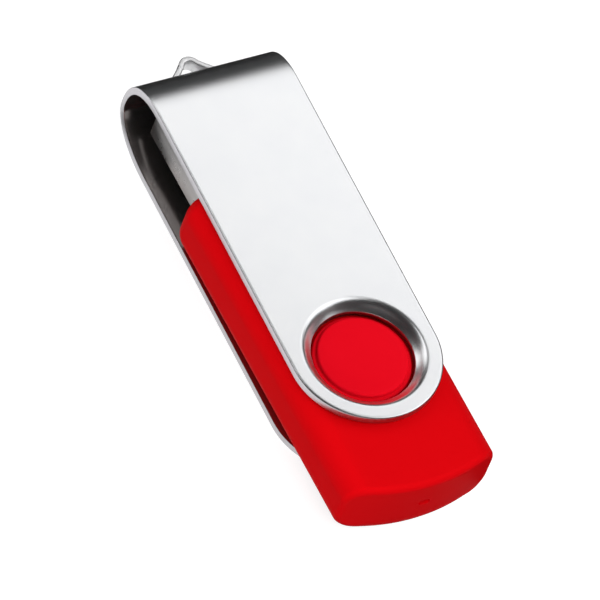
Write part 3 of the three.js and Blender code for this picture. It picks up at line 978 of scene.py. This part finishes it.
def small_pieces():
    """The plug's tongue and contacts, and the parts on the board; the board, its chips
    and the crystal keep their CAD shape."""
    bevelled_copy("plug_insulator", "plug_tongue", 0.1, "black_plastic", BLACK)
    for name in ("vbus", "data_minus", "data_plus", "ground"):
        bevelled_copy(f"contact_{name}", f"contact_strip_{name}", 0.05, "contact_gold", GOLD)
    bevelled_copy("status_led", "led_body", 0.08, "led_lens", LENS)
    for node, material in (("circuit_board", BOARD), ("memory_chip", CHIP),
                           ("controller_chip", CHIP), ("crystal", CAN)):
        materials = frame["nodes"][node].data.materials
        materials.clear()
        materials.append(material)
    for i in range(1, 6):
        bevelled_copy(f"capacitor_{i}", f"ceramic_capacitor_{i}", 0.06, "ceramic_tan", CERAMIC)
    for i in range(1, 4):
        bevelled_copy(f"resistor_{i}", f"chip_resistor_{i}", 0.05, "chip_black", CHIP)


# ---- the studio -------------------------------------------------------------------
CAMERA_SIDE = (44.57, 52.64)           # azimuth and elevation of the camera, in degrees
CAMERA_ROLL = -22.88
CAMERA_DISTANCE = 1.2533
CAMERA_TARGET = (0.00217, -0.00096, 0.00535)
CAMERA_LENS = 709.8
FLOOR_HALF = 4.0
CARD_Z = 0.0002                        # the black cards lie just above the floor
FAR = 0.9                              # and end this far from the object
BEND_X = -0.0285                       # where the plug's card takes over from the bend's


def direction(azimuth, elevation):
    """Unit vector from the object towards a viewer at that azimuth and elevation."""
    a, e = math.radians(azimuth), math.radians(elevation)
    return Vector((math.sin(a) * math.cos(e), -math.cos(a) * math.cos(e), math.sin(e)))


def aim(obj, back, roll=0.0):
    """Turn a camera or a light to look against the given direction."""
    level = (-back).to_track_quat("-Z", "Y")
    obj.rotation_mode = "QUATERNION"
    obj.rotation_quaternion = level @ Matrix.Rotation(-roll, 3, "Z").to_quaternion()


def add_camera():
    """A long lens far off, looking down on the plate with the bend at the far left."""
    back = direction(*CAMERA_SIDE)
    data = bpy.data.cameras.new("camera")
    data.lens = CAMERA_LENS
    data.sensor_width = 36.0
    data.clip_start, data.clip_end = 0.05, 20.0
    camera = add_to_scene(bpy.data.objects.new("camera", data))
    camera.location = Vector(CAMERA_TARGET) + back * CAMERA_DISTANCE
    aim(camera, back, math.radians(CAMERA_ROLL))
    bpy.context.scene.camera = camera


def add_softbox(name, azimuth, elevation, distance, width, height, radiance, glossy=True):
    """A soft rectangular light aimed at the object, of the given brightness; one that
    isn't glossy lights the object without showing in it."""
    data = bpy.data.lights.new(name, "AREA")
    data.shape = "RECTANGLE"
    data.size, data.size_y = width, height
    data.energy = radiance * math.pi * width * height
    lamp = add_to_scene(bpy.data.objects.new(name, data))
    towards = direction(azimuth, elevation)
    lamp.location = towards * distance
    aim(lamp, towards)
    lamp.visible_glossy = glossy
    lamp.visible_camera = False


def flat_sheet(name, low, high, z, material):
    """A rectangle lying at height z, between two corners of its plan."""
    (x0, y0), (x1, y1) = low, high
    mesh = bpy.data.meshes.new(name)
    mesh.from_pydata([(x0, y0, z), (x1, y0, z), (x1, y1, z), (x0, y1, z)], [], [(0, 1, 2, 3)])
    mesh.materials.append(material)
    sheet = add_to_scene(bpy.data.objects.new(name, mesh))
    sheet.visible_diffuse = False
    return sheet


def add_flag(name, low, high, fade=None):
    """A black card lying flat that only mirror-like reflections see; it may fade out
    along X between two places."""
    n = Nodes(name)
    n.set(Roughness=1.0, Specular_IOR_Level=0.0, Base_Color=(0.004, 0.004, 0.004, 1))
    if fade:
        along = n.add("ShaderNodeSeparateXYZ")
        n.join(n.place, along.inputs["Vector"])
        n.feed("Alpha", n.between(along.outputs["X"], 1.0, 0.0, *fade))
    card = flat_sheet(name, low, high, CARD_Z, n.material)
    card.visible_camera = False
    card.visible_shadow = False
    card.visible_transmission = False


def add_studio():
    """The floor, the dim surroundings, the lights and the black cards."""
    flat_sheet("floor", (-FLOOR_HALF, -FLOOR_HALF), (FLOOR_HALF, FLOOR_HALF), 0, floor_material())

    world = bpy.data.worlds.new("studio")
    world.use_nodes = True
    surroundings = world.node_tree.nodes["Background"]
    surroundings.inputs["Color"].default_value = (0.9, 0.92, 0.95, 1)
    surroundings.inputs["Strength"].default_value = 0.018
    bpy.context.scene.world = world

    # azimuth, elevation, distance, width, height, brightness
    add_softbox("key", 225, 48.5, 0.3, 0.22, 0.142, 1.28)
    add_softbox("far_high", 158, 51, 1.0, 0.85, 0.9, 1.5)
    add_softbox("left_strip", 302, 39, 1.0, 0.38, 0.95, 1.6)
    add_softbox("near_low", 50, 14, 1.0, 1.0, 0.35, 0.8)
    add_softbox("fill_rear", 90, 50, 1.2, 1.0, 1.0, 3.02, glossy=False)
    add_softbox("fill_side", 8, 11, 1.2, 1.4, 0.45, 4.3, glossy=False)
    add_flag("flag_bend", (-FAR, -0.0085), (BEND_X, FAR))
    add_flag("flag_far", (BEND_X, 0.0105), (FAR, FAR))
    # the plug's card is a painted shadow: a dark reflection on the plug's side stands for the
    # floor's shade beside it, fading out away from the bend
    add_flag("flag_plug", (BEND_X, -0.012), (-0.012, -0.0091), fade=(-0.026, -0.012))

    bpy.context.scene.view_settings.view_transform = "Standard"


add_camera()
cover_piece()
key_loop_piece()
body_pieces()
cap_pieces()
plug_piece()
small_pieces()
add_studio()
